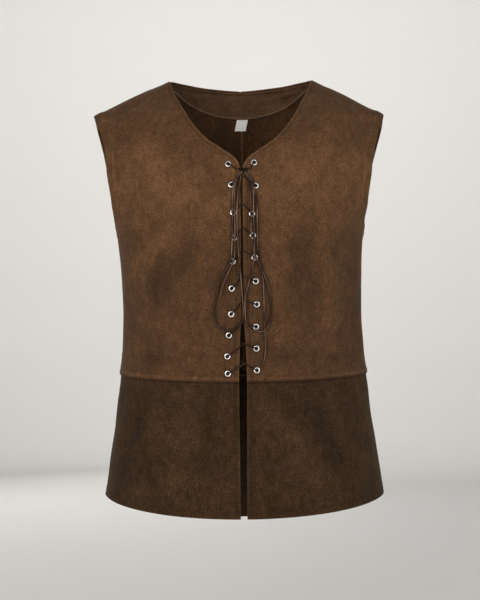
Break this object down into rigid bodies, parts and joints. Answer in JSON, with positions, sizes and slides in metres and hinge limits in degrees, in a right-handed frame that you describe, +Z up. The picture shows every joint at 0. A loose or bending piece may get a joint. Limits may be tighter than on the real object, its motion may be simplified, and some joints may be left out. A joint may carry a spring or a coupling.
{
  "type": "medieval vest",
  "caption": "Sleeveless brown suede jerkin with a V neck, open armholes and a skirt, laced up the front through metal eyelets.",
  "frame": {"origin": "midway between the two neck points of the shoulder seams, where the wearer's shoulders hold the garment", "axes": "+Z up, -Y towards the front that laces, +X towards the wearer's left side"},
  "size_m": [0.4763, 0.2702, 0.7395],
  "materials": {
    "suede_bodice": "matte",
    "suede_skirt": "matte",
    "suede_facing": "matte",
    "ribbon": "satin",
    "silver_metal": "polished",
    "suede_lace": "matte"
  },
  "bodies": {
    "root": {"front_bodice_left": "suede_bodice", "front_bodice_right": "suede_bodice", "back_bodice_left": "suede_bodice", "back_bodice_right": "suede_bodice", "front_skirt_left": "suede_skirt", "front_skirt_right": "suede_skirt", "back_skirt": "suede_skirt", "back_neck_facing": "suede_facing", "care_label": "ribbon", "eyelet_left_01": "silver_metal", "eyelet_left_02": "silver_metal", "eyelet_left_03": "silver_metal", "eyelet_left_04": "silver_metal", "eyelet_left_05": "silver_metal", "eyelet_left_06": "silver_metal", "eyelet_left_07": "silver_metal", "eyelet_left_08": "silver_metal", "eyelet_left_09": "silver_metal", "eyelet_left_10": "silver_metal", "eyelet_right_01": "silver_metal", "eyelet_right_02": "silver_metal", "eyelet_right_03": "silver_metal", "eyelet_right_04": "silver_metal", "eyelet_right_05": "silver_metal", "eyelet_right_06": "silver_metal", "eyelet_right_07": "silver_metal", "eyelet_right_08": "silver_metal", "eyelet_right_09": "silver_metal", "eyelet_right_10": "silver_metal", "lacing_a": "suede_lace", "lacing_b": "suede_lace", "bow_knot": "suede_lace", "bow_loop_left": "suede_lace", "bow_loop_right": "suede_lace", "lace_end_left": "suede_lace", "lace_end_right": "suede_lace"}
  },
  "joints": []
}
